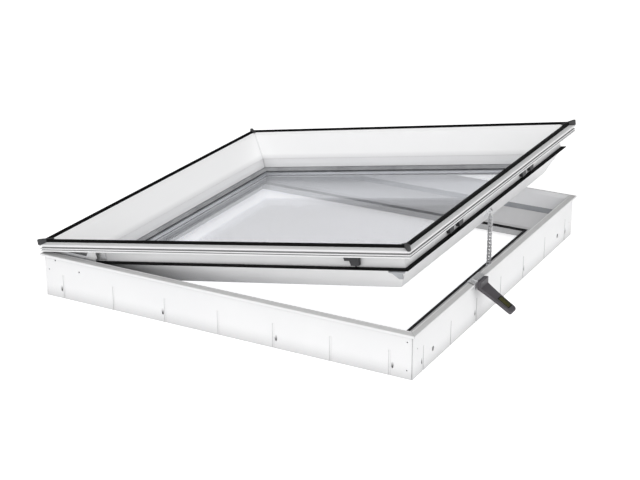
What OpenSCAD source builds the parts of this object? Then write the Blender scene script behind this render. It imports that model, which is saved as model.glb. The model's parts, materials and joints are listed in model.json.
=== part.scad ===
// Opening flat-roof skylight: a square insulated base with a flat double-glazed
// sash, hinged along its left side and driven by a chain on its right side.
// The origin is the centre of the roof opening, on the plane the base stands on.
// Sections are drawn as [distance from the centre, height].

/* [Opening and base] */
// Clear roof opening between the inner walls of the base, each way
opening_w = 1200; // [1100:10:1500]
// Thickness of the base's wall at its foot
base_wall = 115; // [112:1:140]
// Height of the base up to the outer edge of its rim
base_h = 156; // [152:1:200]
// Distance that the rim stands out past the base's wall
rim_over = 11; // [9:0.5:14]
// Height of the white face around the rim
rim_face_h = 5; // [4:0.5:8]
// Height of the inner lip that carries the inner seal
lip_z = 39.5; // [38:0.5:41]
// Height of the grey sealing strip on the inner side
strip_h = 19; // [15:0.5:23]

/* [Fixings in the base] */
// Width of the moulded marking grooves
groove_w = 8; // [5:0.5:12]
// Height of the marking grooves
groove_h = 88; // [60:1:110]
// Diameter of the slanted screw holes down into the roof
fixing_d = 8.5; // [6:0.5:10]
// Height at which the slanted holes enter the wall
fixing_z = 39; // [34:1:48]
// Lean of the slanted holes from the vertical
fixing_lean = 21.7; // [15:0.1:25]
// Diameter of the two cable entries
cable_d = 17; // [12:0.5:20]
// Diameter of the drilled pilot holes
pilot_d = 4.5; // [3:0.5:6]

/* [Sash] */
// Angle at which the sash stands open
open_angle = 9.88; // [0:0.01:9.88]
// Height of the closed sash's top edge over the rim
sash_rise = 81.4; // [78:0.1:90]
// Depth of the sash from its top edge to the foot of its skirt
sash_depth = 170; // [168:0.5:170.5]
// Thickness of each glass pane
glass_t = 4; // [3:0.5:5]
// Gap between the two panes
glass_gap = 10; // [8:0.5:11]

/* [Hinge and drive] */
// Distance of the hinge pins inside the edge of the roof opening
hinge_in = 80; // [70:1:100]
// Radius of the hinge pins
hinge_pin_r = 4; // [3:0.25:5]
// Thickness of the hinge leaves
leaf_t = 3; // [2:0.5:4]
// Pitch of the drive chain
chain_pitch = 12.7; // [12.6:0.05:12.8]
// Length of the drive housing
drive_len = 500; // [400:10:700]

/* [Rain sensor] */
// Distance of the sensor from the middle of the right side, towards the front
sensor_y = 210; // [120:5:400]
// Length of the sensor's arm
sensor_len = 126; // [90:1:150]
// Slope of the sensor's arm below the horizontal
sensor_slope = 32; // [20:1:40]

/* [Hidden] */
$fn = 48;

// Clearances
fit = 0.3;      // between loose neighbours
run = 0.05;     // radial, on a running pin
far = 3000;     // longer than anything in the part

// Sides, counted from the front: each is a quarter turn on from the last
FRONT = 0;
RIGHT = 1;
BACK = 2;
LEFT = 3;

// Base section
in_a = opening_w / 2;
out_a = in_a + base_wall;
rim_a = out_a + rim_over;
rim_under_z = base_h - rim_face_h - 7;
bead_r = 2.3;
bead_a = out_a - 9.3;
bead_z = base_h + 4.8;
shoulder_a = out_a - 20;
shoulder_z = base_h - 8;
strip_top_a = out_a - 32;
strip_top_z = base_h - 55;
strip_low_a = out_a - 37;
strip_low_z = strip_top_z - strip_h;
strip_deep = 6;
strip_inset = 0.8;
slope_low_a = in_a + 4;
lip_a = in_a - 13.5;
lip_t = 6;
seal_reach = 16;
corner_cut = 3;
groove_pitch = (2 * out_a - 159) / 6;
groove_deep = 1.2;
fixing_off = 10;

// Duct for the drive, in the right rail
duct_in_a = out_a - 77;
duct_out_a = out_a - 11;
duct_top_a = strip_low_a - 1;
duct_floor_z = 8;
duct_roof_z = 70;
duct_half = in_a;
cover_t = 4;
cover_ledge = 10;
cable_y = in_a - 40;
cable_z = 47;

// Sash section: heights are below its top edge
sash_z = base_h + sash_rise;
neck_a = out_a - 38.5;
head_a = rim_a - 0.5;
head_under = -34.5;
rim_in_a = out_a - 32;
rim_in_v = -10.5;
seat_a = out_a - 20;
bead_top_a = in_a + 28;
bead_top_v = -98;
skirt_top_v = -94;
skirt_low_a = in_a + 21;
rebate_a = in_a + 20;
foot_a = in_a + 2;
foot_t = 3.5;
pane_a = in_a + 17;
seat_t = 2;
pane_low_v = -sash_depth + foot_t + seat_t;
pane_top_v = pane_low_v + 2 * glass_t + glass_gap;
gasket_h = 12;
bead_low_v = pane_top_v + gasket_h;
bead_out_a = in_a + 40;
spacer_in_a = in_a;
spacer_w = 11;
root_top_v = -86.5;
root_low_v = -91;
root_a = neck_a - 6.5;
skirt_lean = atan2(neck_a - skirt_low_a, sash_depth + skirt_top_v);

// Hinge
hinge_x = -(in_a - hinge_in);
hinge_drop = 35.3;
hinge_z = sash_z - hinge_drop;
open_max = 9.88;
base_leaf_a = out_a - 18;
base_ear_r = 11;
sash_ear_r = 9;
boss_len = 4;
pin_head_r = 6;
pin_head_t = 2.5;
screw_r = 2;
screw_hole_r = screw_r + run;
hinge_drill_d = 6;
base_screw_at = [[-144, -68], [-80, -84], [-44, -68]];
sash_screw_at = [[-52, -62], [-32, -72], [30, -62]];

// The base's slope passes under the foot of the open sash, at its hinge side
foot_gap = 0.8;
foot_open_z = hinge_z - (skirt_low_a + hinge_x) * sin(open_max) - (sash_depth - hinge_drop) * cos(open_max);
slope_run = (strip_low_a - slope_low_a) / (strip_low_a - skirt_low_a);
slope_low_z = min(lip_z + 2.5, strip_low_z - (strip_low_z - foot_open_z + foot_gap) * slope_run);

// Drive: the chain hangs plumb from its bracket in the open pose
pin_a = out_a - 44;
pin_v = -119;
chain_x = hinge_x + (pin_a - hinge_x) * cos(open_angle) - (pin_v + hinge_drop) * sin(open_angle);
chain_top_z = hinge_z + (pin_a - hinge_x) * sin(open_angle) + (pin_v + hinge_drop) * cos(open_angle);
lug_min = 11;
drive_mid = 25.7;
chain_end_z = duct_floor_z + drive_mid;
chain_links = floor((chain_top_z - chain_end_z - lug_min) / chain_pitch);
lug_drop = chain_top_z - chain_end_z - chain_links * chain_pitch;
bracket_pin_r = 2.5;
bracket_t = 3;
ear_t = 2;
ear_gap = 10;
ear_r = 6.5;
lug_r = 6;
pin_up = (pin_a - neck_a) * sin(skirt_lean) + (pin_v - skirt_top_v) * cos(skirt_lean);
pin_out = (pin_a - neck_a) * cos(skirt_lean) - (pin_v - skirt_top_v) * sin(skirt_lean);
plate_t = 1.5;
plate_r = 5.7;
waist_w = 8;
inner_gap = 7.8;
link_gap = 0.1;
roller_r = 4.2;
chain_pin_r = 2.2;
teeth = 7;
sprocket_r = chain_pitch / (2 * sin(180 / teeth));
tooth_r = sprocket_r + 0.5;
shaft_r = 4;
drive_w = 48;
drive_wall = 2.5;
drive_y0 = -170;
drive_x = duct_out_a - 34.3;
drive_full_h = 52;
drive_h = min(drive_full_h, floor(slope_z(drive_x - drive_w / 2) - cover_t - duct_floor_z));
cap_t = 5;

// Rain sensor
clip_w = 92;
clip_t = 2;
clip_gap = 0.3;
sensor_w = 61;
sensor_tip_w = 48;
sensor_t = 10;
sensor_a = rim_a + 2.5;
sensor_deep = 13;
sensor_top_z = base_h + 5.5;
sensor_root_z = base_h - 17;
bezel_at = 62;
bezel_l = 50;
bezel_w = 30;
bezel_t = 1.6;
pad_margin = 4;

WHITE = [0.96, 0.96, 0.96];
BLACK = [0.06, 0.06, 0.06];
DARK = [0.32, 0.32, 0.33];
GREY = [0.6, 0.61, 0.62];
STEEL = [0.75, 0.76, 0.78];

// ---------------------------------------------------------------- helpers

function arc(c, r, from, to, n) =
    [for (i = [0:n])
        let (t = from + (to - from) * i / n)
        [c[0] + r * cos(t), c[1] + r * sin(t)]];

// Height of the base's inner slope at a distance from the centre
function slope_z(a) =
    slope_low_z + (a - slope_low_a) * (strip_low_z - slope_low_z) / (strip_low_a - slope_low_a);

// Half-width of the skirt's outer face at a height below the sash's top edge
function skirt_a(v) = skirt_low_a + (v + sash_depth) * tan(skirt_lean);

module side(k) {
    rotate([0, 0, 90 * k]) children();
}

// A straight length of a section along the front side, cut square
module bar(section, x0, x1) {
    translate([x0, 0, 0])
        rotate([90, 0, 90])
            linear_extrude(x1 - x0) polygon([for (p = section) [-p[0], p[1]]]);
}

// One side of a square frame, with mitred ends
module mitred(section) {
    intersection() {
        bar(section, -far / 2, far / 2);
        translate([0, 0, -far / 2])
            linear_extrude(far) polygon([[0, 0], [-far, -far], [far, -far]]);
    }
}

// A whole square ring of a section, in one piece
module ring(section) {
    for (k = [FRONT:LEFT]) side(k) mitred(section);
}

// A flat square ring
module flat_ring(a_in, a_out, z0, z1) {
    translate([0, 0, z0])
        linear_extrude(z1 - z0) difference() {
            square(2 * a_out, center = true);
            square(2 * a_in, center = true);
        }
}

module flat_slab(a, z0, z1) {
    translate([-a, -a, z0]) cube([2 * a, 2 * a, z1 - z0]);
}

// The sash's own frame: its top edge at height 0, swung open about the hinge
module sash() {
    translate([hinge_x, 0, hinge_z])
        rotate([0, -open_angle, 0])
            translate([-hinge_x, 0, hinge_drop]) children();
}

// A rod along the front side's depth, from a_in out to a_out
module rod(x, z, r, a_in, a_out) {
    translate([x, -a_in, z]) rotate([90, 0, 0]) cylinder(r = r, h = a_out - a_in);
}

// A plate in the plane of the front side, between two depths
module plate(a_in, a_out) {
    translate([0, -a_in, 0]) rotate([90, 0, 0]) linear_extrude(a_out - a_in) children();
}

// Flat on the front side's skirt: y runs up the slope, z outwards
module on_skirt(x) {
    translate([x, -neck_a, skirt_top_v]) rotate([90 + skirt_lean, 0, 0]) children();
}

// The hinge lies at the left end of the front side and its mirror at the back
function hinge_dir(k) = k == FRONT ? 1 : -1;

module at_hinge(k) {
    side(k) translate([hinge_dir(k) * hinge_x, 0, 0]) scale_x(hinge_dir(k)) children();
}

module scale_x(dir) {
    if (dir > 0) children();
    else mirror([1, 0, 0]) children();
}

// A countersunk screw, its head flush with the origin, pointing down
module screw(r, len) {
    translate([0, 0, -r]) cylinder(r1 = r, r2 = 2 * r, h = r);
    translate([0, 0, -len]) cylinder(r = r, h = len - r);
}

// The hole for it, through a plate that ends at the origin
module screw_hole(r, len) {
    translate([0, 0, -r]) cylinder(r1 = r + run, r2 = 2 * r + run, h = r + 0.01);
    translate([0, 0, -len - 1]) cylinder(r = r + run, h = len + 1);
}

// ---------------------------------------------------------------- base

function base_section() = concat(
    [[in_a, 0], [out_a, 0], [out_a, rim_under_z], [out_a + 4, rim_under_z + 3], [rim_a - 2, rim_under_z + 5],
     [rim_a, rim_under_z + 7.5], [rim_a, base_h], [rim_a - 1.5, base_h + 1.8], [out_a - 5.8, base_h + 5.6]],
    arc([bead_a, bead_z], bead_r, 20, 200, 8),
    [[shoulder_a + 7, base_h + 2.4], [shoulder_a, shoulder_z], [strip_top_a, strip_top_z],
     [strip_top_a + strip_deep, strip_top_z], [strip_low_a + strip_deep, strip_low_z],
     [strip_low_a, strip_low_z], [slope_low_a, slope_low_z], [lip_a, lip_z], [lip_a, lip_z - lip_t],
     [in_a, lip_z - lip_t - 2]]);

module groove_cuts() {
    for (i = [-3:3])
        translate([i * groove_pitch - groove_w / 2, -out_a - 1, -1])
            cube([groove_w, 1 + groove_deep, groove_h + 1]);
}

module fixing_cuts() {
    for (i = [-3, -1, 1, 3])
        translate([i * groove_pitch + sign(i) * fixing_off, -out_a, fixing_z])
            rotate([fixing_lean, 0, 0])
                cylinder(r = fixing_d / 2, h = 120, center = true);
}

module corner_cuts() {
    for (s = [-1, 1])
        translate([s * out_a - corner_cut, -out_a - corner_cut, -1])
            cube([2 * corner_cut, 2 * corner_cut, rim_under_z + 1]);
}

module pilot_cut(x, z, d = pilot_d) {
    rod(x, z, d / 2, out_a - 15, out_a + 1);
}

module hinge_seat_cuts(k) {
    side(-k) at_hinge(k) {
        translate([-base_leaf_a - hinge_x, -base_leaf_a, hinge_z - 96])
            cube([base_leaf_a + hinge_x + 24, 20, 100]);
        for (p = base_screw_at)
            rod(p[0], hinge_z + p[1], screw_hole_r, base_leaf_a - 1, base_leaf_a + 12);
    }
}

module base_rail(k) {
    color(WHITE) side(k) difference() {
        mitred(base_section());
        groove_cuts();
        fixing_cuts();
        corner_cuts();
        if (k == FRONT || k == BACK) {
            hinge_seat_cuts(k);
            scale_x(hinge_dir(k)) {
                pilot_cut(out_a - 19, base_h - 28);
                pilot_cut(out_a - 19, 30);
                pilot_cut(-out_a + 18.5, base_h - 55);
                pilot_cut(-out_a + 47, base_h - 17, hinge_drill_d);
                pilot_cut(-out_a + 148, base_h - 42, hinge_drill_d);
            }
        }
        if (k == RIGHT || k == LEFT) {
            pilot_cut(-out_a + 36, base_h - 60);
            pilot_cut(out_a - 31, base_h - 96);
        }
        if (k == RIGHT) {
            duct_cuts();
            for (y = [-cable_y, cable_y])
                rod(y, cable_z, cable_d / 2, duct_out_a - 1, out_a + 1);
        }
    }
}

module base_seal() {
    color(BLACK) ring([[lip_a, lip_z], [lip_a, lip_z - lip_t], [lip_a - 4, lip_z - lip_t - 1.2],
        [lip_a - seal_reach + 1, lip_z - 4.5], [lip_a - seal_reach, lip_z - 3.4],
        [lip_a - seal_reach + 1.6, lip_z - 2.2]]);
}

module sealing_strip() {
    color(GREY) ring([[strip_top_a + strip_inset, strip_top_z], [strip_top_a + strip_deep, strip_top_z],
        [strip_low_a + strip_deep, strip_low_z], [strip_low_a + strip_inset, strip_low_z]]);
}

// ---------------------------------------------------------------- duct and drive

// Room for the drive, with a ledge for its cover and a notch for the chain
module duct_cuts() {
    ledge_a = duct_in_a - cover_ledge;
    bar([[duct_in_a, duct_floor_z], [duct_out_a, duct_floor_z], [duct_out_a, duct_roof_z],
         [duct_top_a, duct_roof_z], [duct_top_a, strip_low_z + 3], [duct_in_a, strip_low_z + 3]],
        -duct_half, duct_half);
    bar([[ledge_a, slope_z(ledge_a) - cover_t], [duct_in_a, slope_z(duct_in_a) - cover_t],
         [duct_in_a, strip_low_z], [ledge_a, strip_low_z]], -duct_half, duct_half);
    translate([-14, -chain_x - 10.5, duct_roof_z - 1])
        cube([28, 20, strip_low_z - duct_roof_z + 1]);
    for (y = cover_screw_at())
        cover_screw_at_place(y) cylinder(r = screw_hole_r, h = 24, center = true);
}

function cover_screw_at() = [for (i = [-2:2]) i * (duct_half - 40) / 2];

module cover_screw_at_place(y) {
    a = duct_in_a - cover_ledge / 2;
    translate([y, -a, slope_z(a)])
        rotate([-atan2(strip_low_z - slope_low_z, strip_low_a - slope_low_a), 0, 0]) children();
}

module duct_cover() {
    a0 = duct_in_a - cover_ledge + fit;
    a1 = duct_top_a - fit;
    color(WHITE) side(RIGHT) difference() {
        bar([[a0, slope_z(a0)], [a0, slope_z(a0) - cover_t], [a1, slope_z(a1) - cover_t], [a1, slope_z(a1)]],
            -duct_half + fit, duct_half - fit);
        translate([-14, -a1 - 1, duct_floor_z])
            cube([28, a1 - chain_x + 11, base_h]);
        for (y = cover_screw_at())
            cover_screw_at_place(y) screw_hole(screw_r, cover_t);
    }
}

module duct_cover_screws() {
    color(STEEL) side(RIGHT)
        for (y = cover_screw_at())
            cover_screw_at_place(y) screw(screw_r, 12);
}

module drive_housing() {
    color(GREY) difference() {
        translate([drive_x - drive_w / 2, drive_y0, duct_floor_z]) cube([drive_w, drive_len, drive_h]);
        translate([drive_x - drive_w / 2 + drive_wall, drive_y0 - 1, duct_floor_z + drive_wall])
            cube([drive_w - 2 * drive_wall, drive_len + 2, drive_h - 2 * drive_wall]);
        translate([chain_x - 9.5, -8, duct_floor_z + drive_h / 2]) cube([19, 16, drive_h]);
        sprocket_place() cylinder(r = shaft_r + run, h = 2 * drive_w, center = true);
    }
}

// An end cap with a plug that fits inside the housing
module drive_end_cap(y, dir) {
    color(DARK) translate([drive_x, y, duct_floor_z + drive_h / 2]) scale([1, dir, 1]) {
        translate([-drive_w / 2, 0, -drive_h / 2]) cube([drive_w, cap_t, drive_h]);
        translate([-drive_w / 2 + drive_wall + fit, -cap_t, -drive_h / 2 + drive_wall + fit])
            cube([drive_w - 2 * (drive_wall + fit), cap_t + 1, drive_h - 2 * (drive_wall + fit)]);
    }
}

module drive_gearbox() {
    color(GREY) translate([drive_x - drive_w / 2 + drive_wall + fit, -75, duct_floor_z + drive_wall])
        cube([drive_w - 2 * (drive_wall + fit), 68, drive_h - 2 * drive_wall - fit]);
}

module drive_motor() {
    color(STEEL) translate([drive_x, -75, duct_floor_z + drive_h / 2])
        rotate([90, 0, 0]) union() {
            cylinder(r = 17, h = 78);
            translate([0, 0, 77]) cylinder(r = 6, h = 5);
        }
}

module sprocket_place() {
    translate([chain_x, sprocket_r, chain_end_z]) rotate([0, 90, 0]) children();
}

module drive_sprocket() {
    color(STEEL) sprocket_place() {
        difference() {
            cylinder(r = tooth_r, h = inner_gap - 0.6, center = true);
            for (i = [0:teeth - 1])
                rotate([0, 0, -90 + i * 360 / teeth])
                    translate([sprocket_r, 0, 0]) cylinder(r = roller_r + 0.25, h = 20, center = true);
        }
        cylinder(r = shaft_r + 3, h = 20, center = true);
        translate([0, 0, drive_x - chain_x]) cylinder(r = shaft_r, h = drive_w - 0.4, center = true);
    }
}

// The joint number i of the chain, counted down from the one in the lug
module chain_joint(i) {
    translate([chain_x, 0, chain_top_z - lug_drop - i * chain_pitch]) rotate([0, 90, 0]) children();
}

// One chain plate between two joints
module chain_plate(i, x) {
    chain_joint(i) translate([0, 0, x]) linear_extrude(plate_t) difference() {
            union() {
                circle(r = plate_r, $fn = 32);
                translate([chain_pitch, 0]) circle(r = plate_r, $fn = 32);
                translate([0, -waist_w / 2]) square([chain_pitch, waist_w]);
            }
            circle(r = chain_pin_r + run, $fn = 24);
            translate([chain_pitch, 0]) circle(r = chain_pin_r + run, $fn = 24);
        }
}

module chain_inner_plates() {
    color(STEEL) for (i = [0:2:chain_links - 1], s = [-1, 1])
        chain_plate(i, s * (inner_gap + plate_t) / 2 - plate_t / 2);
}

module chain_outer_plates() {
    color(STEEL) for (i = [1:2:chain_links - 1], s = [-1, 1])
        chain_plate(i, s * (inner_gap / 2 + 1.5 * plate_t + link_gap) - plate_t / 2);
}

module chain_rollers() {
    color(STEEL) for (i = [1:chain_links])
        chain_joint(i) difference() {
            cylinder(r = roller_r, h = inner_gap - link_gap, center = true, $fn = 24);
            cylinder(r = chain_pin_r + run, h = inner_gap + 2, center = true, $fn = 24);
        }
}

module chain_pins() {
    color(STEEL) for (i = [0:chain_links])
        chain_joint(i)
            cylinder(r = chain_pin_r, h = inner_gap + 4 * plate_t + 1, center = true, $fn = 24);
}

// ---------------------------------------------------------------- hinges

// A leaf outline: a strap plate with an ear around the pin at the origin
module leaf_outline(x0, x1, z0, z1, r) {
    translate([x0, z0]) square([x1 - x0, z1 - z0]);
    circle(r = r);
    polygon([[-r, 0], [r, 0], [r + 8, z1 - 1], [-r - 14, z1 - 1]]);
}

module hinge_base_leaf(k) {
    color(STEEL) at_hinge(k) translate([0, 0, hinge_z]) difference() {
        union() {
            plate(base_leaf_a - leaf_t, base_leaf_a)
                leaf_outline(base_screw_at[0][0] - 16, 14, -94, -30, base_ear_r);
            rod(0, 0, base_ear_r - 2, base_leaf_a - leaf_t - boss_len, base_leaf_a - 1);
        }
        rod(0, 0, hinge_pin_r + 0.02, neck_a, base_leaf_a + 1);
        for (p = base_screw_at)
            translate([p[0], -base_leaf_a + leaf_t, p[1]]) rotate([-90, 0, 0]) screw_hole(screw_r, leaf_t);
    }
}

module hinge_base_screws() {
    color(STEEL) for (k = [FRONT, BACK]) at_hinge(k) translate([0, 0, hinge_z])
        for (p = base_screw_at)
            translate([p[0], -base_leaf_a + leaf_t, p[1]])
                rotate([-90, 0, 0]) screw(screw_r, 12);
}

module hinge_pin(k) {
    color(STEEL) at_hinge(k) {
        rod(0, hinge_z, hinge_pin_r, neck_a + fit, base_leaf_a + 1);
        rod(0, hinge_z, pin_head_r, base_leaf_a, base_leaf_a + pin_head_t);
    }
}

module hinge_sash_leaf(k) {
    color(STEEL) sash() at_hinge(k) translate([0, 0, -hinge_drop]) difference() {
        union() {
            plate(neck_a, neck_a + leaf_t)
                leaf_outline(sash_screw_at[0][0] - 10, sash_screw_at[2][0] + 10, -48 + 6, -14, sash_ear_r);
            rod(0, 0, sash_ear_r, neck_a + leaf_t - 1, neck_a + leaf_t + boss_len);
        }
        rod(0, 0, hinge_pin_r + run, neck_a - 1, neck_a + 20);
        for (p = sash_screw_at)
            translate([p[0], -neck_a - leaf_t, p[1] + hinge_drop])
                rotate([90, 0, 0]) screw_hole(screw_r, leaf_t);
    }
}

module hinge_sash_screws() {
    color(STEEL) sash() for (k = [FRONT, BACK]) at_hinge(k)
        for (p = sash_screw_at)
            translate([p[0], -neck_a - leaf_t, p[1]])
                rotate([90, 0, 0]) screw(screw_r, 14);
}

// ---------------------------------------------------------------- sash

function sash_section() = concat(
    [[foot_a, -sash_depth], [skirt_low_a, -sash_depth], [neck_a, skirt_top_v], [neck_a, root_low_v],
     [root_a, root_low_v], [root_a, root_top_v], [neck_a, root_top_v]],
    arc([neck_a + 4, head_under - 4], 4, 180, 90, 5),
    [[head_a - 7.5, head_under], [head_a - 5.5, head_under - 2.5], [head_a - 3, head_under - 2.5],
     [head_a - 1.5, head_under - 1], [head_a - 1.5, -31.8], [head_a - 5, -30.8], [head_a - 5, -29.2],
     [head_a - 1, -28.2], [head_a - 1, -24.5], [head_a - 7.5, -23.5], [head_a - 7.5, -19.5],
     [head_a - 0.8, -18.4], [head_a, -17.4], [head_a, -13.2], [head_a - 1.8, -11.2],
     [seat_a + 16, -7.6], [seat_a + 15.2, -6.7],
     [seat_a + 0.2, -6.7], [seat_a - 1, -1], [seat_a - 2.2, -1], [rim_in_a, rim_in_v],
     [bead_top_a, bead_top_v], [bead_out_a + 0.2, bead_top_v], [bead_out_a + 0.2, bead_low_v],
     [rebate_a + 11.2, bead_low_v], [rebate_a + 11.2, pane_top_v - 0.2], [rebate_a, pane_top_v - 0.2],
     [rebate_a, -sash_depth + foot_t], [foot_a, -sash_depth + foot_t]]);

// Room in the sash's head for the hinge's ears
module hinge_pocket_cuts(k) {
    side(-k) at_hinge(k) {
        rod(0, -hinge_drop, base_ear_r + 2, neck_a + 0.1, base_leaf_a + pin_head_t + 2);
        rod(0, -hinge_drop, sash_ear_r + 1, neck_a - fit, neck_a + 1);
        translate([-24, -base_leaf_a - pin_head_t - 2, -60])
            cube([40, base_leaf_a + pin_head_t + 2 - neck_a, 60 - hinge_drop + 1]);
        for (p = sash_screw_at)
            rod(p[0], p[1], screw_hole_r, neck_a - 12, neck_a + 1);
    }
}

module sash_rail(k) {
    color(WHITE) sash() side(k) difference() {
        mitred(sash_section());
        if (k == FRONT || k == BACK) hinge_pocket_cuts(k);
        if (k == RIGHT) bracket_screw_places() cylinder(r = screw_hole_r, h = 30, center = true);
    }
}

module glazing_bead(k) {
    color(WHITE) sash() side(k) mitred(concat(
        [[bead_out_a, bead_top_v - fit], [bead_out_a, bead_low_v + 0.01], [in_a + 24, bead_low_v + 0.01]],
        arc([in_a + 24.5, bead_low_v + 2.5], 2.5, 260, 180, 4),
        [[in_a + 24, -118], [bead_top_a + 0.5, bead_top_v - fit]]));
}

module glazing_gasket() {
    color(GREY) sash() ring([[rebate_a, bead_low_v], [rebate_a + 11, bead_low_v],
        [rebate_a + 11, pane_top_v], [in_a + 12, pane_top_v], [in_a + 14, pane_top_v + 3.5],
        [in_a + 18, pane_top_v + 6]]);
}

module outer_pane() {
    color([0.8, 0.9, 0.95, 0.4]) sash() flat_slab(pane_a, pane_top_v - glass_t, pane_top_v);
}

module inner_pane() {
    color([0.8, 0.9, 0.95, 0.4]) sash() flat_slab(pane_a, pane_low_v, pane_low_v + glass_t);
}

module spacer_bar() {
    color(GREY) sash()
        flat_ring(spacer_in_a, spacer_in_a + spacer_w, pane_low_v + glass_t, pane_top_v - glass_t);
}

module edge_seal() {
    color(BLACK) sash()
        flat_ring(spacer_in_a + spacer_w, pane_a, pane_low_v + glass_t, pane_top_v - glass_t);
}

module glazing_seat() {
    color(BLACK) sash() flat_ring(foot_a, pane_a, pane_low_v - seat_t, pane_low_v);
}

module setting_blocks() {
    color(DARK) sash() for (k = [FRONT:LEFT], x = [-in_a * 0.6, in_a * 0.6])
        side(k) translate([x - 30, -rebate_a, pane_low_v - seat_t])
            cube([60, rebate_a - pane_a, seat_t + 2 * glass_t + glass_gap - 1]);
}

corner_half = 6;
corner_reach = 2;

function top_gasket_section() =
    [[seat_a - 1, 0], [seat_a + 15, 5], [seat_a + 15, -6.7], [seat_a + 0.2, -6.7]];

// It slopes up with the gasket, then hooks down over the head's outer corner
function gasket_corner_section() =
    [[seat_a - 5, -0.7], [seat_a - 5, 1.6], [head_a + corner_reach, 8], [head_a + corner_reach, -11],
     [head_a - 1.2, -11], [seat_a + 16, -6.9], [seat_a + 15.3, -6.7], [seat_a + 0.2, -6.7], [seat_a - 1, -0.7]];

// The band over the mitre at the right-hand end of the front side
module corner_band() {
    rotate([0, 0, -45]) translate([0, -corner_half, -far / 2]) cube([far, 2 * corner_half, far]);
}

module top_gasket() {
    color(BLACK) sash() for (k = [FRONT:LEFT])
        side(k) difference() {
            mitred(top_gasket_section());
            corner_band();
            side(LEFT) corner_band();
        }
}

// A corner piece joins two gasket strips
module gasket_corner(k) {
    color(DARK) sash() side(k) intersection() {
        union() {
            mitred(gasket_corner_section());
            side(RIGHT) mitred(gasket_corner_section());
        }
        corner_band();
    }
}

module lower_gasket() {
    color(BLACK) sash() ring([[neck_a, -84], [neck_a + 13.5, -85.5], [neck_a + 16.5, -87],
        [neck_a + 16.1, -88.6], [neck_a + 7.5, -92.5], [neck_a, skirt_top_v], [neck_a, root_low_v],
        [root_a, root_low_v], [root_a, root_top_v], [neck_a, root_top_v]]);
}

// ---------------------------------------------------------------- fittings on the sash

module bracket_screw_places() {
    for (x = [-12, 12]) on_skirt(x) translate([0, -44, 0]) children();
}

// The chain's bracket: a plate on the skirt with two ears around the lug's pin
module chain_bracket() {
    color(WHITE) sash() side(RIGHT) difference() {
        union() {
            on_skirt(0) translate([-18, -50, 0]) cube([36, 44, bracket_t]);
            for (x = [-ear_gap / 2 - ear_t, ear_gap / 2])
                on_skirt(x) rotate([90, 0, 90]) linear_extrude(ear_t) {
                    translate([pin_up, pin_out]) circle(r = ear_r);
                    polygon([[pin_up - 11, bracket_t - 0.5], [pin_up + 11, bracket_t - 0.5],
                        [pin_up + ear_r, pin_out], [pin_up - ear_r, pin_out]]);
                }
        }
        lug_pin_place() cylinder(r = bracket_pin_r + run, h = 40, center = true);
        bracket_screw_places() translate([0, 0, bracket_t]) screw_hole(screw_r, bracket_t);
    }
}

// The pin's axis runs along the rail, as the sash's own hinge does
module lug_pin_place() {
    translate([0, -pin_a, pin_v]) rotate([0, 90, 0]) children();
}

module chain_bracket_pin() {
    color(STEEL) sash() side(RIGHT) lug_pin_place() {
        cylinder(r = bracket_pin_r, h = ear_gap + 2 * ear_t + 1, center = true);
        translate([0, 0, ear_gap / 2 + ear_t]) cylinder(r = bracket_pin_r + 1.5, h = 1.2);
    }
}

// The lug joins the chain's top link, whose pins run across the rail, to the bracket
module chain_lug() {
    color(STEEL) translate([chain_x, 0, chain_top_z]) difference() {
        union() {
            rotate([90, 0, 0]) cylinder(r = lug_r, h = ear_gap - 1, center = true);
            translate([-inner_gap / 2 + fit, -4, -lug_drop])
                cube([inner_gap - 2 * fit, 8, lug_drop]);
            translate([0, 0, -lug_drop]) rotate([0, 90, 0])
                cylinder(r = 4.4, h = inner_gap - 2 * fit, center = true);
        }
        rotate([90, 0, 0]) cylinder(r = bracket_pin_r + run, h = 40, center = true);
        translate([0, 0, -lug_drop]) rotate([0, 90, 0])
            cylinder(r = chain_pin_r + fit, h = 40, center = true);
    }
}

module chain_bracket_screws() {
    color(STEEL) sash() side(RIGHT)
        bracket_screw_places() translate([0, 0, bracket_t]) screw(screw_r, 11);
}

// A wedge that centres the sash as it closes
module guide_wedge(k, x) {
    color(GREY) sash() side(k) on_skirt(x) linear_extrude(5)
        polygon([[-30, -1], [30, -1], [26, -7], [14, -9], [7, -40], [-7, -40], [-20, -9], [-28, -7]]);
}

// Clips that hold a weather dome: a step-shaped block under the head's overhang
module dome_clip(x, dir) {
    translate([x, 0, 0]) scale_x(dir) {
        plate(neck_a, neck_a + 14)
            polygon([[-28, head_under - 4.2], [28, head_under - 4.2], [24, -76], [-4, -76],
                [-8, -60], [-26, -60]]);
        translate([10, -neck_a - 7, -81]) cylinder(r = 3, h = 6);
    }
}

module dome_clips() {
    color(DARK) sash() {
        side(FRONT) dome_clip(in_a - 104, 1);
        side(BACK) dome_clip(-in_a + 104, -1);
        for (s = [-1, 1], d = [-37, 37])
            side(RIGHT) dome_clip(s * 305 + d, s);
    }
}

// ---------------------------------------------------------------- rain sensor

module sensor_place() {
    side(RIGHT) translate([-sensor_y, 0, 0]) children();
}

module sensor_clip() {
    t = clip_t;
    g = clip_gap;
    top = base_h + 8.7 + g;
    color(STEEL) sensor_place() {
        bar([[rim_a + g, base_h - 17], [rim_a + g, base_h + 4.6], [out_a - 5.4, top],
             [out_a - 12, top], [out_a - 12.4, base_h + 7], [out_a - 16.6, base_h],
             [out_a - 18.4, base_h + 1], [out_a - 14, base_h + 8], [out_a - 13.6, top + t],
             [out_a - 5, top + t], [rim_a + g + t, base_h + 6.2], [rim_a + g + t, base_h - 17]],
            -clip_w / 2 - 9, clip_w / 2 - 9);
        bar([[out_a - 10, top + t - 0.1], [out_a - 5.1, top + t - 0.1], [rim_a + g + t, base_h + 6],
             [rim_a + g + t, base_h + 8.4], [out_a - 4.6, top + 2 * t], [out_a - 10, top + 2 * t]],
            -sensor_w / 2, sensor_w / 2 + 4);
    }
}

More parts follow.
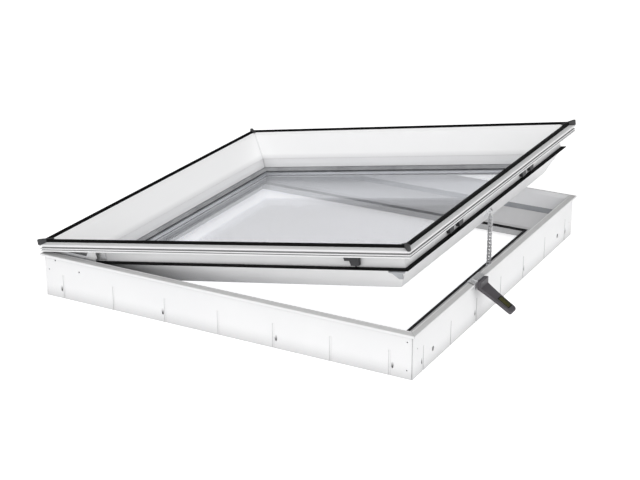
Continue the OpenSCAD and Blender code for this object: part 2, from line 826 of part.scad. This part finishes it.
// Side view of the sensor: a block at the rim and an arm that slopes away
function sensor_side() = let (
        c = cos(sensor_slope),
        s = sin(sensor_slope),
        top = [sensor_a + sensor_deep, sensor_root_z],
        tip = [top[0] + sensor_len * c, top[1] - sensor_len * s])
    concat(
        [[sensor_a, sensor_top_z - 1], [sensor_a + 1, sensor_top_z], [top[0] - 1.5, sensor_top_z],
         [top[0], sensor_top_z - 1.5], top],
        arc([tip[0] - s * sensor_t / 2, tip[1] - c * sensor_t / 2], sensor_t / 2,
            90 - sensor_slope, -90 - sensor_slope, 8),
        [[top[0] - s * sensor_t - 2, top[1] - c * sensor_t], [sensor_a, top[1] - c * sensor_t + 2]]);

module sensor_plan() {
    tip_a = sensor_a + sensor_deep + sensor_len * cos(sensor_slope);
    half = sensor_w / 2;
    tip_half = sensor_tip_w / 2;
    r = 12;
    polygon([for (p = concat(
        [[-half, sensor_a - 5], [-half, sensor_a + sensor_deep], [-half + 2.5, sensor_a + sensor_deep + 12],
         [-tip_half - 1, sensor_a + sensor_deep + 40]],
        arc([-tip_half + r, tip_a - r + 2.5], r, 180, 90, 8),
        arc([tip_half - r, tip_a - r + 2.5], r, 90, 0, 8),
        [[tip_half + 1, sensor_a + sensor_deep + 40], [half - 2.5, sensor_a + sensor_deep + 12],
         [half, sensor_a + sensor_deep], [half, sensor_a - 5]])) [p[0], -p[1]]]);
}

// Flat on the sensor's sloping face: y runs down the arm, z outwards
module on_sensor() {
    translate([0, -sensor_a - sensor_deep, sensor_root_z])
        rotate([sensor_slope, 0, 0]) scale([1, -1, 1]) children();
}

module sensor_body() {
    color(DARK) sensor_place() difference() {
        intersection() {
            bar(sensor_side(), -sensor_w, sensor_w);
            linear_extrude(far) sensor_plan();
        }
        on_sensor() translate([-bezel_w / 2 + 3, bezel_at, -bezel_t]) cube([bezel_w, bezel_l, bezel_t + 5]);
    }
}

module sensor_bezel() {
    color(BLACK) sensor_place() on_sensor() difference() {
        translate([-bezel_w / 2 + 3, bezel_at, -bezel_t]) cube([bezel_w, bezel_l, bezel_t]);
        translate([-bezel_w / 2 + 3 + pad_margin, bezel_at + pad_margin, -0.8])
            cube([bezel_w - 2 * pad_margin, bezel_l - 2 * pad_margin, 5]);
    }
}

module sensor_pad() {
    color([0.33, 0.35, 0.12]) sensor_place() on_sensor()
        translate([-bezel_w / 2 + 3 + pad_margin, bezel_at + pad_margin, -0.8])
            cube([bezel_w - 2 * pad_margin, bezel_l - 2 * pad_margin, 0.8]);
}

// ---------------------------------------------------------------- parts

base_rail(FRONT);  // base_rail_front
base_rail(RIGHT);  // base_rail_right
base_rail(BACK);  // base_rail_back
base_rail(LEFT);  // base_rail_left
base_seal();
sealing_strip();
duct_cover();
duct_cover_screws();
hinge_base_leaf(FRONT);  // hinge_base_leaf_front
hinge_base_leaf(BACK);  // hinge_base_leaf_back
hinge_pin(FRONT);  // hinge_pin_front
hinge_pin(BACK);  // hinge_pin_back
hinge_base_screws();
drive_housing();
drive_end_cap(drive_y0, -1);  // drive_end_cap_front
drive_end_cap(drive_y0 + drive_len, 1);  // drive_end_cap_back
drive_motor();
drive_gearbox();
drive_sprocket();
chain_outer_plates();
chain_inner_plates();
chain_rollers();
chain_pins();
sensor_clip();
sensor_body();
sensor_bezel();
sensor_pad();
sash_rail(FRONT);  // sash_rail_front
sash_rail(RIGHT);  // sash_rail_right
sash_rail(BACK);  // sash_rail_back
sash_rail(LEFT);  // sash_rail_left
glazing_bead(FRONT);  // glazing_bead_front
glazing_bead(RIGHT);  // glazing_bead_right
glazing_bead(BACK);  // glazing_bead_back
glazing_bead(LEFT);  // glazing_bead_left
outer_pane();
inner_pane();
spacer_bar();
edge_seal();
glazing_gasket();
glazing_seat();
setting_blocks();
top_gasket();
gasket_corner(FRONT);  // gasket_corner_1
gasket_corner(RIGHT);  // gasket_corner_2
gasket_corner(BACK);  // gasket_corner_3
gasket_corner(LEFT);  // gasket_corner_4
lower_gasket();
hinge_sash_leaf(FRONT);  // hinge_sash_leaf_front
hinge_sash_leaf(BACK);  // hinge_sash_leaf_back
hinge_sash_screws();
chain_bracket();
chain_lug();
chain_bracket_pin();
chain_bracket_screws();
guide_wedge(FRONT, in_a + 45);  // guide_wedge_front
guide_wedge(BACK, -in_a - 45);  // guide_wedge_back
dome_clips();
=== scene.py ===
import bpy, bmesh, json, math
from mathutils import Matrix, Vector

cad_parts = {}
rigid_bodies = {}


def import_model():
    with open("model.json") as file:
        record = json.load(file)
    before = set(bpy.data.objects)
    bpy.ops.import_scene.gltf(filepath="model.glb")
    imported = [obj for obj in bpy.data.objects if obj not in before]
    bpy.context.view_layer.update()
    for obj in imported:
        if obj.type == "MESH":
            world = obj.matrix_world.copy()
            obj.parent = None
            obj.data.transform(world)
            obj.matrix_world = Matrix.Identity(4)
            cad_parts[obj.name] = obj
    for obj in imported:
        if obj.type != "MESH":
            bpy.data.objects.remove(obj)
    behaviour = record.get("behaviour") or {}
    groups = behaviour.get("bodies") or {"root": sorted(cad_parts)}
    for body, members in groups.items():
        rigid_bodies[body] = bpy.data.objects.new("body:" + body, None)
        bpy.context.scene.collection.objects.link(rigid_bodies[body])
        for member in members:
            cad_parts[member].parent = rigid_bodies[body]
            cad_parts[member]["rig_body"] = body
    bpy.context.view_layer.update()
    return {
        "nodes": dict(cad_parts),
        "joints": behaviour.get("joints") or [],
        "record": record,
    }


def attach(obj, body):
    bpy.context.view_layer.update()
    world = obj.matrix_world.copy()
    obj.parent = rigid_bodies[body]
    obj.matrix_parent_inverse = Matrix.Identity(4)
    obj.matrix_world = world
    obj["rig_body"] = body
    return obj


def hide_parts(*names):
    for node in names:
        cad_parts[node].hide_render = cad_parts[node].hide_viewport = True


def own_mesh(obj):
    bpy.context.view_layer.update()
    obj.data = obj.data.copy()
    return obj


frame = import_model()
nodes = frame["nodes"]

# ------------------------------------------------------------------ measures

OPEN = math.radians(9.88)          # the sash's angle at rest
TOP_OVER_HINGE = 0.0353            # the sash's top edge above the hinge axis, closed
HINGE = None
for j in frame["joints"]:
    if j["name"] == "sash_hinge":
        HINGE = Vector(j["pos_m"])
SASH_TOP = HINGE.z + TOP_OVER_HINGE

# where the sash's inner reveal is painted brighter, as painted light, in the sash's own frame
LIT_REVEAL_LEAN = 0.62                 # how far it leans inwards for each metre down
LIT_REVEAL_EDGE = (0.696, 0.700)       # half width at the top edge: inside, outside
LIT_REVEAL_FOOT = (-0.10, -0.08)       # where it fades out below

GLASS_IOR = 1.27                   # set for how much the panes mirror

# light, stage and camera
SUN_ENERGY = 2.20
SUN_SPREAD = 100                   # degrees: wide, so that its shadows are soft
SUN_DIRECTION = (-0.458, 0.586, -0.669)
DOME_BY_HEIGHT = (0.10, 0.95, 1.0, 0.80)
DOME_BY_DEPTH = (-0.5, 0.7, 0.38, 0.22)
FLOOR_GLOW = 0.54
FLOOR_RADIUS = 14.0
FLOOR_DROP = 0.0005
CAMERA_AZIMUTH = 28.601            # degrees from the front, towards the right side
CAMERA_HEIGHT = 21.611             # degrees above the level
CAMERA_ROLL = -0.144
CAMERA_DISTANCE = 5.897
CAMERA_SHIFT_UP = 0.085
CAMERA_SHIFT_LEFT = 0.0026
CAMERA_LENS = 89.43
CAMERA_SENSOR = 36
CAMERA_FAR = 60


# ------------------------------------------------------------------ materials

class Mat:
    """A node material being written, with short names for what it uses most."""

    def __init__(self, name):
        self.m = bpy.data.materials.new(name)
        self.m.use_nodes = True
        self.t = self.m.node_tree
        self.t.nodes.clear()
        self.out = self.t.nodes.new("ShaderNodeOutputMaterial")
        self.bsdf = self.t.nodes.new("ShaderNodeBsdfPrincipled")
        self.t.links.new(self.bsdf.outputs[0], self.out.inputs["Surface"])
        self.co = self.t.nodes.new("ShaderNodeTexCoord")

    def node(self, kind, **sets):
        n = self.t.nodes.new(kind)
        for k, v in sets.items():
            setattr(n, k, v)
        return n

    def link(self, a, b):
        self.t.links.new(a, b)

    def put(self, socket, value):
        """A constant or another node's output into a socket."""
        if isinstance(value, bpy.types.NodeSocket):
            self.link(value, socket)
        else:
            socket.default_value = value

    def math(self, op, a, b=0.0, clamp=False):
        n = self.node("ShaderNodeMath", operation=op, use_clamp=clamp)
        self.put(n.inputs[0], a)
        self.put(n.inputs[1], b)
        return n.outputs[0]

    def coords(self, sash=False):
        """A point's position at rest: in the row's frame, or in the sash's own, with its top edge at height 0."""
        if not sash:
            return self.co.outputs["Object"]
        shift = self.node("ShaderNodeVectorMath", operation="SUBTRACT")
        self.link(self.co.outputs["Object"], shift.inputs[0])
        shift.inputs[1].default_value = HINGE
        rot = self.node("ShaderNodeVectorRotate", rotation_type="Y_AXIS")
        rot.inputs["Angle"].default_value = OPEN
        self.link(shift.outputs[0], rot.inputs["Vector"])
        back = self.node("ShaderNodeVectorMath", operation="ADD")
        self.link(rot.outputs[0], back.inputs[0])
        back.inputs[1].default_value = (HINGE.x, 0, HINGE.z - SASH_TOP)
        return back.outputs[0]

    def noise(self, vec, scale, detail=3.0, rough=0.5, stretch=None):
        """Noise from 0 to 1; stretch scales each axis first."""
        if stretch is not None:
            mp = self.node("ShaderNodeMapping")
            self.link(vec, mp.inputs["Vector"])
            mp.inputs["Scale"].default_value = stretch
            vec = mp.outputs[0]
        n = self.node("ShaderNodeTexNoise")
        self.link(vec, n.inputs["Vector"])
        n.inputs["Scale"].default_value = scale
        n.inputs["Detail"].default_value = detail
        n.inputs["Roughness"].default_value = rough
        return n.outputs["Fac"]

    def mix(self, fac, a, b, blend="MIX"):
        n = self.node("ShaderNodeMix", data_type="RGBA", blend_type=blend)
        self.put(n.inputs[0], fac)
        self.put(n.inputs[6], (*a, 1) if isinstance(a, tuple) and len(a) == 3 else a)
        self.put(n.inputs[7], (*b, 1) if isinstance(b, tuple) and len(b) == 3 else b)
        return n.outputs[2]

    def range(self, v, lo, hi, to_lo, to_hi):
        """v from lo..hi to to_lo..to_hi, held at both ends."""
        n = self.node("ShaderNodeMapRange")
        self.put(n.inputs[0], v)
        for i, x in enumerate((lo, hi, to_lo, to_hi)):
            n.inputs[1 + i].default_value = x
        return n.outputs[0]

    def bump(self, height, strength, dist, normal=None):
        b = self.node("ShaderNodeBump")
        b.inputs["Strength"].default_value = strength
        b.inputs["Distance"].default_value = dist
        self.link(height, b.inputs["Height"])
        if normal is not None:
            self.link(normal, b.inputs["Normal"])
        return b.outputs[0]

    def shade(self, reach):
        """How open a point lies to its surroundings: 1 in the open, near 0 deep in a groove."""
        a = self.node("ShaderNodeAmbientOcclusion", samples=8)
        a.inputs["Distance"].default_value = reach
        return a.outputs["AO"]

    def bevel(self, radius):
        b = self.node("ShaderNodeBevel", samples=4)
        b.inputs["Radius"].default_value = radius
        return b.outputs[0]

    def set(self, **kw):
        """Inputs of the principled shader, by short name."""
        names = {"color": "Base Color", "rough": "Roughness", "metal": "Metallic", "ior": "IOR",
                 "spec": "Specular IOR Level", "normal": "Normal", "coat": "Coat Weight",
                 "coat_rough": "Coat Roughness"}
        for k, v in kw.items():
            s = self.bsdf.inputs[names[k]]
            if k == "color" and isinstance(v, tuple):
                v = (*v, 1)
            self.put(s, v)
        return self


def edge_wear(m, vec, radius, low, high):
    """1 near worn convex edges, broken up by noise."""
    bev = m.bevel(radius)
    geo = m.node("ShaderNodeNewGeometry")
    dot = m.node("ShaderNodeVectorMath", operation="DOT_PRODUCT")
    m.link(bev, dot.inputs[0])
    m.link(geo.outputs["Normal"], dot.inputs[1])
    edge = m.range(dot.outputs["Value"], 0.97, 0.72, 0.0, 1.0)
    spots = m.range(m.noise(vec, 60, 4, 0.6), low, high, 0.0, 1.0)
    return m.math("MULTIPLY", edge, spots)


def plastic_white(name, sash):
    """Moulded white plastic: welded mitres, a fine grain and faint handling marks, with painted shade in grooves,
    hollows and on the base's up-facing faces, and the sash's inner reveal painted brighter as painted light.
    """
    m = Mat(name)
    v = m.coords(sash)
    sep = m.node("ShaderNodeSeparateXYZ")
    m.link(v, sep.inputs[0])
    x, y, z = sep.outputs
    ax, ay = m.math("ABSOLUTE", x), m.math("ABSOLUTE", y)
    gap = m.math("ABSOLUTE", m.math("SUBTRACT", ax, ay))
    seam = m.range(gap, 0.0004, 0.0016, 1.0, 0.0)
    weld = m.range(gap, 0.0008, 0.0045, 1.0, 0.0)
    cloud = m.noise(v, 3.2, 4, 0.55)
    dust = m.noise(v, 26, 5, 0.65)
    speck = m.range(m.noise(v, 190, 2, 0.5), 0.70, 0.80, 0.0, 1.0)
    base = m.mix(m.range(cloud, 0.35, 0.7, 0.0, 1.0), (0.748, 0.749, 0.756), (0.776, 0.776, 0.780))
    if sash:
        # painted light: the sash's inner reveal is painted near-white, brighter than the rest of the frame, as if
        # strongly lit
        lean = m.math("SUBTRACT", m.math("MAXIMUM", ax, ay), m.math("MULTIPLY", z, LIT_REVEAL_LEAN))
        inside = m.range(lean, *LIT_REVEAL_EDGE, 1.0, 0.0)
        above = m.range(z, *LIT_REVEAL_FOOT, 0.0, 1.0)
        base = m.mix(m.math("MULTIPLY", inside, above), base, (0.965, 0.965, 0.967))
    if not sash:
        low = m.range(m.math("ADD", z, m.math("MULTIPLY", dust, 0.02)), 0.0, 0.035, 0.0, 1.0)
        splash = m.math("MULTIPLY", m.math("SUBTRACT", 1.0, low, clamp=True), 0.14)
        base = m.mix(splash, base, (0.60, 0.59, 0.57))
    # painted shade: on the base, faces that look upwards are painted darker grey, broken up a little by the dust
    # noise; the sash gets none
    geo = m.node("ShaderNodeNewGeometry")
    up = m.node("ShaderNodeSeparateXYZ")
    m.link(geo.outputs["Normal"], up.inputs[0])
    up_facing_shade = m.range(up.outputs[2], 0.75, 0.97, 0.0, 0.0 if sash else 0.75)
    up_facing_shade = m.math("MULTIPLY", up_facing_shade, m.range(dust, 0.25, 0.75, 0.8, 1.0))
    base = m.mix(up_facing_shade, base, (0.46, 0.455, 0.45))
    base = m.mix(m.math("MULTIPLY", speck, 0.10), base, (0.50, 0.49, 0.47))
    base = m.mix(m.math("MULTIPLY", seam, 0.10 if sash else 0.55), base, (0.30, 0.30, 0.31))
    wear = edge_wear(m, v, 0.0016, 0.45, 0.62)
    base = m.mix(m.math("MULTIPLY", wear, 0.10), base, (0.66, 0.65, 0.63))
    # painted shade: grooves, creases and gaps between parts are painted near-black by how closed in they are
    open_to = m.range(m.shade(0.011), 0.05, 0.80 if sash else 0.34, 0.0, 1.0)
    closed_in = m.math("SUBTRACT", 1.0, open_to, clamp=True)
    groove_shade = m.math("MULTIPLY", closed_in, m.range(dust, 0.3, 0.7, 0.82, 1.0))
    base = m.mix(groove_shade, base, (0.10, 0.10, 0.105))
    # painted shade: hollows, corners and faces under overhanging parts are painted darker grey, less so on the
    # sash's painted-bright reveal
    wide = m.range(m.shade(0.075), 0.20, 0.85, 0.50 if sash else 0.85, 0.0)
    if sash:
        wide = m.math("MULTIPLY", wide, m.range(m.math("MULTIPLY", inside, above), 0.0, 1.0, 1.0, 0.45))
    base = m.mix(wide, base, (0.30, 0.30, 0.305))
    uneven = m.math("ADD", m.math("MULTIPLY", cloud, 0.5), m.math("MULTIPLY", dust, 0.5))
    rough = m.range(uneven, 0.3, 0.7, 0.30, 0.46)
    rough = m.math("ADD", rough, m.math("MULTIPLY", m.math("ADD", weld, wear), 0.18), clamp=True)
    grain = m.noise(v, 900, 2, 0.5)
    wave = m.noise(v, 34, 2, 0.4)
    h = m.math("ADD", m.math("MULTIPLY", grain, 0.10), m.math("MULTIPLY", wave, 0.9))
    n = m.bump(h, 0.10, 0.0012, m.bevel(0.0009))
    n = m.bump(m.math("SUBTRACT", 1.0, seam), 0.5, 0.0006, n)
    m.set(color=base, rough=rough, spec=0.40, normal=n, ior=1.5)
    m.set(coat=0.06, coat_rough=0.25)
    return m.m


def rubber(name, tone, sheen_rough=0.55, sash=False, bump_size=1.0, gloss=0.10):
    """Extruded sealing rubber: fine lines along its length, chalky bloom and dust."""
    m = Mat(name)
    v = m.coords(sash)
    bloom = m.noise(v, 9, 5, 0.62)
    fine = m.noise(v, 420, 3, 0.6)
    dust = m.range(m.noise(v, 70, 4, 0.7), 0.56, 0.80, 0.0, 1.0)
    lo = tuple(c * 0.75 for c in tone)
    hi = tuple(min(1, c * 1.35 + 0.001) for c in tone)
    base = m.mix(m.range(bloom, 0.3, 0.7, 0.0, 1.0), lo, hi)
    base = m.mix(m.math("MULTIPLY", dust, 0.015 if sash else 0.05), base, (0.30, 0.29, 0.28))
    rough = m.range(bloom, 0.3, 0.7, sheen_rough - 0.10, sheen_rough + 0.12)
    rough = m.math("ADD", rough, m.math("MULTIPLY", dust, 0.15), clamp=True)
    h = m.math("ADD", fine, m.math("MULTIPLY", bloom, 1.5))
    n = m.bump(h, 0.22 * bump_size, 0.0007, m.bevel(0.0008))
    m.set(color=base, rough=rough, spec=gloss, normal=n)
    return m.m


def foam(name, sash=False):
    """Closed-cell sealing foam, pale grey and pitted."""
    m = Mat(name)
    v = m.coords(sash)
    cell = m.node("ShaderNodeTexVoronoi", feature="F1")
    m.link(v, cell.inputs["Vector"])
    cell.inputs["Scale"].default_value = 620
    d = cell.outputs["Distance"]
    blot = m.noise(v, 14, 4, 0.6)
    base = m.mix(m.range(blot, 0.3, 0.7, 0.0, 1.0), (0.285, 0.295, 0.31), (0.36, 0.37, 0.385))
    base = m.mix(m.math("MULTIPLY", m.range(d, 0.1, 0.6, 1.0, 0.0), 0.35), base, (0.2, 0.2, 0.21))
    m.set(color=base, rough=m.range(blot, 0.3, 0.7, 0.75, 0.95), spec=0.25,
          normal=m.bump(d, 0.4, 0.0006, m.bevel(0.0008)))
    return m.m


def plastic(name, tone, rough=0.42, grain=1.0, sash=False, worn=(0.4, 0.4, 0.4), gloss=0.35):
    """Coloured moulded plastic with a spark-eroded grain and rubbed edges."""
    m = Mat(name)
    v = m.coords(sash)
    cloud = m.noise(v, 22, 4, 0.6)
    spark = m.noise(v, 1500, 2, 0.55)
    wear = edge_wear(m, v, 0.0009, 0.42, 0.6)
    lo = tuple(c * 0.86 for c in tone)
    hi = tuple(min(1, c * 1.16 + 0.003) for c in tone)
    base = m.mix(m.range(cloud, 0.3, 0.7, 0.0, 1.0), lo, hi)
    base = m.mix(m.math("MULTIPLY", wear, 0.35), base, worn)
    r = m.range(cloud, 0.3, 0.7, rough - 0.08, rough + 0.10)
    r = m.math("ADD", r, m.math("MULTIPLY", wear, -0.12), clamp=True)
    h = m.math("ADD", spark, m.math("MULTIPLY", cloud, 0.8))
    n = m.bump(h, 0.25 * grain, 0.0004, m.bevel(0.0008))
    m.set(color=base, rough=r, spec=gloss, normal=n)
    return m.m


def metal(name, tone, rough=0.3, brush=(1, 1, 40), sash=False, tarnish=0.25,
          tint=(0.55, 0.53, 0.50), bevel=0.0005, grease=0):
    """Plated or mill metal: brushing along one way, duller patches, bright rubbed edges and dark grease in gaps."""
    m = Mat(name)
    v = m.coords(sash)
    lines = m.noise(v, 60, 4, 0.7, brush)
    patch = m.noise(v, 18, 5, 0.6)
    wear = edge_wear(m, v, bevel * 2, 0.35, 0.6)
    base = m.mix(m.math("MULTIPLY", m.range(patch, 0.42, 0.72, 0.0, 1.0), tarnish), tone, tint)
    base = m.mix(m.math("MULTIPLY", wear, 0.5), base, (0.86, 0.86, 0.87))
    r = m.range(lines, 0.25, 0.75, rough - 0.08, rough + 0.12)
    dull = m.math("MULTIPLY", m.range(patch, 0.4, 0.75, 0.0, 1.0), 0.14)
    r = m.math("ADD", r, dull, clamp=True)
    h = m.math("ADD", lines, m.math("MULTIPLY", patch, 0.4))
    n = m.bump(h, 0.12, 0.0004, m.bevel(bevel))
    if grease:
        depth = m.range(m.shade(grease), 0.25, 0.85, 1.0, 0.0)
        base = m.mix(depth, base, (0.015, 0.014, 0.013))
        r = m.math("ADD", r, m.math("MULTIPLY", depth, 0.25), clamp=True)
    m.set(color=base, metal=1.0, rough=r, normal=n)
    return m.m


def glass(name):
    """Clear float glass: it reflects by angle and lets the rest through, faintly blue and smeared."""
    m = Mat(name)
    v = m.coords(True)
    smear = m.noise(v, 2.2, 4, 0.6)
    dots = m.range(m.noise(v, 240, 2, 0.5), 0.72, 0.8, 0.0, 1.0)
    wave = m.noise(v, 1.6, 2, 0.4)
    m.t.nodes.remove(m.bsdf)
    clear = m.node("ShaderNodeBsdfTransparent")
    tint = m.mix(m.range(smear, 0.3, 0.7, 0.0, 1.0), (0.990, 0.990, 0.996), (0.996, 0.996, 0.999))
    m.link(tint, clear.inputs["Color"])
    shine = m.node("ShaderNodeBsdfGlossy")
    shine.inputs["Color"].default_value = (0.95, 0.97, 1.0, 1)
    m.link(m.range(smear, 0.3, 0.75, 0.0, 0.05), shine.inputs["Roughness"])
    n = m.bump(wave, 0.02, 0.002)
    m.link(n, shine.inputs["Normal"])
    # both faces of a pane mirror alike, so the ratio is turned over where a ray leaves it
    geo = m.node("ShaderNodeNewGeometry")
    fres = m.node("ShaderNodeFresnel")
    m.link(m.range(geo.outputs["Backfacing"], 0.0, 1.0, GLASS_IOR, 1 / GLASS_IOR), fres.inputs["IOR"])
    dust = m.node("ShaderNodeBsdfDiffuse")
    dust.inputs["Color"].default_value = (0.8, 0.8, 0.8, 1)
    a = m.node("ShaderNodeMixShader")
    m.link(fres.outputs[0], a.inputs[0])
    m.link(clear.outputs[0], a.inputs[1])
    m.link(shine.outputs[0], a.inputs[2])
    b = m.node("ShaderNodeMixShader")
    film = m.math("ADD", m.math("MULTIPLY", dots, 0.05), m.range(smear, 0.4, 0.8, 0.004, 0.02))
    m.link(film, b.inputs[0])
    m.link(a.outputs[0], b.inputs[1])
    m.link(dust.outputs[0], b.inputs[2])
    m.link(b.outputs[0], m.out.inputs["Surface"])
    return m.m


def sensor_pad_mat(name):
    """The sensor's plate: olive lacquer over a comb of fine gilt tracks."""
    m = Mat(name)
    v = m.coords()
    sep = m.node("ShaderNodeSeparateXYZ")
    m.link(v, sep.inputs[0])
    comb = m.math("PINGPONG", m.math("MULTIPLY", sep.outputs[1], 1000 / 1.9), 1.0)
    track = m.range(comb, 0.42, 0.58, 0.0, 1.0)
    cloud = m.noise(v, 90, 3, 0.6)
    base = m.mix(track, (0.022, 0.023, 0.006), (0.095, 0.088, 0.022))
    base = m.mix(m.math("MULTIPLY", cloud, 0.3), base, (0.05, 0.048, 0.018))
    m.set(color=base, rough=m.range(cloud, 0.3, 0.7, 0.34, 0.5), spec=0.2,
          normal=m.bump(track, 0.35, 0.0003))
    return m.m


MATS = {
    "frame_base": plastic_white("plastic_white_base", False),
    "frame_sash": plastic_white("plastic_white_sash", True),
    "seal_black_base": rubber("rubber_black_base", (0.010, 0.010, 0.011)),
    "seal_black_sash": rubber("rubber_black_sash", (0.004, 0.004, 0.0042), 0.62, True, 1.0, 0.05),
    "seal_grey_base": foam("foam_grey_base"),
    "seal_grey_sash": rubber("rubber_grey_sash", (0.30, 0.305, 0.315), 0.6, True, 1.0, 0.3),
    "corner_grey": rubber("rubber_corner", (0.045, 0.045, 0.047), 0.5, True, 1.4, 0.25),
    "plastic_dark": plastic("plastic_dark", (0.030, 0.030, 0.033), 0.45, 1.0, True, (0.22, 0.22, 0.22)),
    "plastic_grey": plastic("plastic_grey", (0.40, 0.41, 0.43), 0.5, 1.0, True, (0.7, 0.7, 0.7)),
    "block_dark": plastic("plastic_block", (0.04, 0.04, 0.04), 0.55, 1.0, True),
    "glass": glass("glass_clear"),
    "aluminium_bar": metal("aluminium_mill", (0.58, 0.59, 0.61), 0.38, (1, 40, 1), True, 0.2),
    "steel_hinge": metal("steel_zinc_plate", (0.74, 0.745, 0.76), 0.50, (1, 30, 1), False,
                         0.25, (0.60, 0.58, 0.48), 0.0006),
    "steel_drive": metal("steel_bright", (0.62, 0.625, 0.64), 0.34, (30, 1, 1), False,
                         0.35, (0.30, 0.29, 0.27), 0.0005, 0.006),
    "steel_screws": metal("steel_screws", (0.64, 0.65, 0.68), 0.28, (20, 20, 1), False,
                          0.3, (0.5, 0.48, 0.4), 0.0004),
    "clip_metal": metal("spring_steel", (0.80, 0.805, 0.815), 0.26, (1, 30, 1), False,
                        0.2, (0.6, 0.59, 0.56), 0.0006),
    "sensor_dark": plastic("plastic_sensor", (0.075, 0.070, 0.077), 0.42, 0.8, False,
                           (0.28, 0.27, 0.29), 0.3),
    "bezel_black": plastic("plastic_bezel", (0.006, 0.006, 0.006), 0.30, 0.3, False,
                           (0.03, 0.03, 0.03), 0.12),
    "pad_olive": sensor_pad_mat("sensor_plate"),
    "bracket_white": plastic("powder_white", (0.80, 0.80, 0.81), 0.38, 1.6, True, (0.6, 0.6, 0.6)),
}

# slots whose material comes in two forms, one in the base's frame and one in the sash's
TWO_FORMS = {"frame_white": "frame", "seal_black": "seal_black", "seal_grey": "seal_grey"}
SLOT_OF = {s["node"]: s["material_slot"] for s in frame["record"]["subparts"]}
for n, o in nodes.items():
    slot = SLOT_OF[n]
    which = slot
    if slot in TWO_FORMS:
        which = TWO_FORMS[slot] + ("_sash" if o.get("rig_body") == "sash" else "_base")
    o.data.materials.clear()
    o.data.materials.append(MATS[which])


# ------------------------------------------------------------------ the chain, copied from the CAD nodes onto the base

def chain_piece(name, node):
    """A copy of a CAD chain node, held by the base, in place of the CAD node, which is hidden."""
    me = nodes[node].data.copy()
    me.name = name
    ob = bpy.data.objects.new(name, me)
    bpy.context.scene.collection.objects.link(ob)
    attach(ob, "base")
    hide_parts(node)
    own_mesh(ob)
    return ob


for n in ("outer_plates", "inner_plates", "rollers", "pins"):
    chain_piece("drive_" + n, "chain_" + n)


# ------------------------------------------------------------------ stage, light and camera

def aim(direction):
    """The rotation that turns a light or camera, which looks along -Z, to a direction."""
    return Vector(direction).to_track_quat("-Z", "Y").to_euler()


def add(name, data):
    """A new object with this data, linked to the scene."""
    ob = bpy.data.objects.new(name, data)
    bpy.context.scene.collection.objects.link(ob)
    return ob


def dome(by_height, by_depth):
    """A plain white sky, weaker or stronger with the height and with the depth (Y) of the direction."""
    world = bpy.data.worlds.new("studio")
    bpy.context.scene.world = world
    world.use_nodes = True
    tree = world.node_tree
    sky = tree.nodes["Background"]
    where = tree.nodes.new("ShaderNodeTexCoord")
    split = tree.nodes.new("ShaderNodeSeparateXYZ")
    tree.links.new(where.outputs["Generated"], split.inputs[0])
    product = tree.nodes.new("ShaderNodeMath")
    product.operation = "MULTIPLY"
    for slot, (axis, spans) in enumerate(((2, by_height), (1, by_depth))):
        part = tree.nodes.new("ShaderNodeMapRange")
        tree.links.new(split.outputs[axis], part.inputs[0])
        for i, value in enumerate(spans):
            part.inputs[1 + i].default_value = value
        tree.links.new(part.outputs[0], product.inputs[slot])
    tree.links.new(product.outputs[0], sky.inputs["Strength"])
    sky.inputs["Color"].default_value = (1, 1, 1, 1)


def floor_mesh():
    """A wide pale disc that glows a little, since most of the light on the walls comes off it."""
    m = Mat("floor_pale")
    blot = m.range(m.noise(m.coords(), 1.4, 4, 0.5), 0.3, 0.7, 0.0, 1.0)
    m.set(color=m.mix(blot, (0.88, 0.88, 0.885), (0.91, 0.91, 0.91)), rough=0.9, spec=0.1)
    m.bsdf.inputs["Emission Color"].default_value = (1, 1, 1, 1)
    m.bsdf.inputs["Emission Strength"].default_value = FLOOR_GLOW
    bm = bmesh.new()
    bmesh.ops.create_circle(bm, cap_ends=True, segments=96, radius=FLOOR_RADIUS)
    me = bpy.data.meshes.new("studio_floor")
    bm.to_mesh(me)
    bm.free()
    me.materials.append(m.m)
    return me


sun = bpy.data.lights.new("key_soft", "SUN")
sun.energy = SUN_ENERGY
sun.angle = math.radians(SUN_SPREAD)
add("key_soft", sun).rotation_euler = aim(SUN_DIRECTION)

dome(DOME_BY_HEIGHT, DOME_BY_DEPTH)

floor = add("studio_floor", floor_mesh())
floor.location.z = -FLOOR_DROP

az, el = math.radians(CAMERA_AZIMUTH), math.radians(CAMERA_HEIGHT)
back = Vector((math.sin(az) * math.cos(el), -math.cos(az) * math.cos(el), math.sin(el)))
right = Vector((math.cos(az), math.sin(az), 0))
up = back.cross(right).normalized()
cam_data = bpy.data.cameras.new("camera")
cam_data.sensor_width = CAMERA_SENSOR
cam_data.lens = CAMERA_LENS
cam_data.clip_end = CAMERA_FAR
cam = add("camera", cam_data)
cam.location = back * CAMERA_DISTANCE + up * CAMERA_SHIFT_UP - right * CAMERA_SHIFT_LEFT
rot = Matrix((right, up, back)).transposed()
roll = Matrix.Rotation(math.radians(CAMERA_ROLL), 3, back)
cam.rotation_euler = (roll @ rot).to_euler()
bpy.context.scene.camera = cam
bpy.context.scene.view_settings.view_transform = "Standard"
